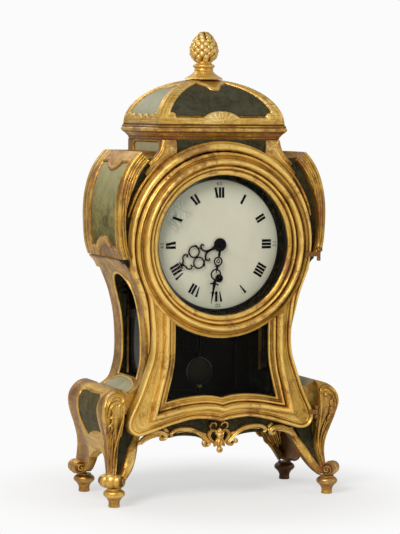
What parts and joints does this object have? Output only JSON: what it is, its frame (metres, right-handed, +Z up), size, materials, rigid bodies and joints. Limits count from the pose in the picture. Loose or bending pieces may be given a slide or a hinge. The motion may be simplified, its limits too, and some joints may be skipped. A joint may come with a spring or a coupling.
{
  "type": "table clock",
  "caption": "Waisted table clock on four cabriole legs with bulging shoulders, a domed top with pinecone, a glazed door over dial and pendulum, and a wheel train.",
  "frame": {"origin": "on the floor, midway between the legs in both directions", "axes": "+X to the right seen from the front, -Y out of the dial, +Z up"},
  "size_m": [0.3224, 0.1513, 0.579],
  "materials": {
    "gilding": "aged gold leaf over reddish ground",
    "green_paint": "marbled green paint under varnish",
    "board": "stained, matt",
    "pane": "clear",
    "enamel": "gloss",
    "dark_ring": "matt black",
    "blackened_steel": "satin black",
    "steel": "polished",
    "brass": "lacquered"
  },
  "bodies": {
    "case": {"feet": "gilding", "leg_front_left": "gilding", "leg_front_right": "gilding", "leg_rear_left": "gilding", "leg_rear_right": "gilding", "side_apron_left": "gilding", "side_apron_right": "gilding", "side_panels": "green_paint", "base_floor": "board", "base_ledges": "gilding", "front_apron": "green_paint", "apron_carving": "gilding", "rear_apron": "board", "case_front": "green_paint", "hood_moulding": "gilding", "side_frame_left": "gilding", "side_frame_right": "gilding", "side_glasses": "pane", "shoulder_left": "gilding", "shoulder_right": "gilding", "shoulder_panels": "green_paint", "case_back": "board", "rear_door_hinges": "brass", "neck": "gilding", "neck_panels": "green_paint", "cornice": "gilding", "dome_frame": "gilding", "dome_panels": "green_paint", "finial": "gilding", "door_hinges": "brass", "dial": "enamel", "dial_ring": "dark_ring", "winding_grommet": "brass", "movement_plates": "brass", "plate_pillars": "brass", "seat_board": "board", "suspension": "brass"},
    "door": {"door_frame": "gilding", "dial_glass": "pane", "lower_glass": "pane", "door_hinge_leaves": "brass"},
    "back_door": {"rear_door": "board", "rear_door_leaves": "brass"},
    "button": {"rear_door_button": "brass"},
    "winder": {"winding_arbor": "steel"},
    "going_barrel": {"barrel": "brass"},
    "centre_arbor": {"centre_wheel": "brass"},
    "third_arbor": {"third_wheel": "brass"},
    "escape_arbor": {"escape_wheel": "brass"},
    "minute_group": {"cannon_pinion": "brass", "minute_hand": "blackened_steel", "hand_nut": "blackened_steel"},
    "hour_group": {"hour_wheel": "brass", "hour_hand": "blackened_steel"},
    "motion_wheel": {"minute_wheel": "brass"},
    "pendulum": {"pendulum_rod": "steel", "pendulum_bob": "brass", "rating_nut": "brass"},
    "anchor_arbor": {"anchor": "steel"}
  },
  "joints": [
    {"name": "front_door_hinge", "type": "hinge", "parent": "case", "child": "door", "pos_m": [0.127, -0.061, 0.203], "axis": [0, 0, 1], "range_deg": [0, 95]},
    {"name": "rear_door_hinge", "type": "hinge", "parent": "case", "child": "back_door", "pos_m": [-0.075, 0.0733, 0.26], "axis": [0, 0, 1], "range_deg": [0, 100]},
    {"name": "rear_button_turn", "type": "hinge", "parent": "case", "child": "button", "pos_m": [0.082, 0.07, 0.261], "axis": [0, 1, 0], "range_deg": [-90, 0]},
    {"name": "winding_turn", "type": "hinge", "parent": "case", "child": "winder", "pos_m": [0, 0, 0.2729], "axis": [0, 1, 0], "continuous": true},
    {"name": "third_turn", "type": "hinge", "parent": "case", "child": "third_arbor", "pos_m": [0.02114, 0, 0.33406], "axis": [0, 1, 0], "continuous": true},
    {"name": "centre_turn", "type": "hinge", "parent": "case", "child": "centre_arbor", "pos_m": [0, 0, 0.3145], "axis": [0, 1, 0], "continuous": true},
    {"name": "escape_turn", "type": "hinge", "parent": "case", "child": "escape_arbor", "pos_m": [0, 0, 0.352], "axis": [0, 1, 0], "continuous": true},
    {"name": "barrel_turn", "type": "hinge", "parent": "case", "child": "going_barrel", "pos_m": [0, 0, 0.2729], "axis": [0, 1, 0], "continuous": true},
    {"name": "minute_turn", "type": "hinge", "parent": "case", "child": "minute_group", "pos_m": [0, -0.03, 0.3145], "axis": [0, 1, 0], "continuous": true},
    {"name": "hour_turn", "type": "hinge", "parent": "case", "child": "hour_group", "pos_m": [0, -0.03, 0.3145], "axis": [0, 1, 0], "continuous": true},
    {"name": "motion_turn", "type": "hinge", "parent": "case", "child": "motion_wheel", "pos_m": [-0.012, -0.03, 0.3057], "axis": [0, 1, 0], "continuous": true},
    {"name": "pendulum_swing", "type": "hinge", "parent": "case", "child": "pendulum", "pos_m": [0, 0.017, 0.3765], "axis": [0, 1, 0], "range_deg": [-3.5, 3.5]},
    {"name": "anchor_rock", "type": "hinge", "parent": "case", "child": "anchor_arbor", "pos_m": [0, 0, 0.3765], "axis": [0, 1, 0], "range_deg": [-3.5, 3.5]}
  ],
  "couplings": [
    {"joint": "centre_turn", "follows": "third_turn", "ratio": -0.11111},
    {"joint": "escape_turn", "follows": "third_turn", "ratio": -10},
    {"joint": "barrel_turn", "follows": "third_turn", "ratio": 0.0092593},
    {"joint": "hour_turn", "follows": "minute_turn", "ratio": 0.083333},
    {"joint": "motion_turn", "follows": "minute_turn", "ratio": -0.33333},
    {"joint": "anchor_rock", "follows": "pendulum_swing", "ratio": 1}
  ]
}
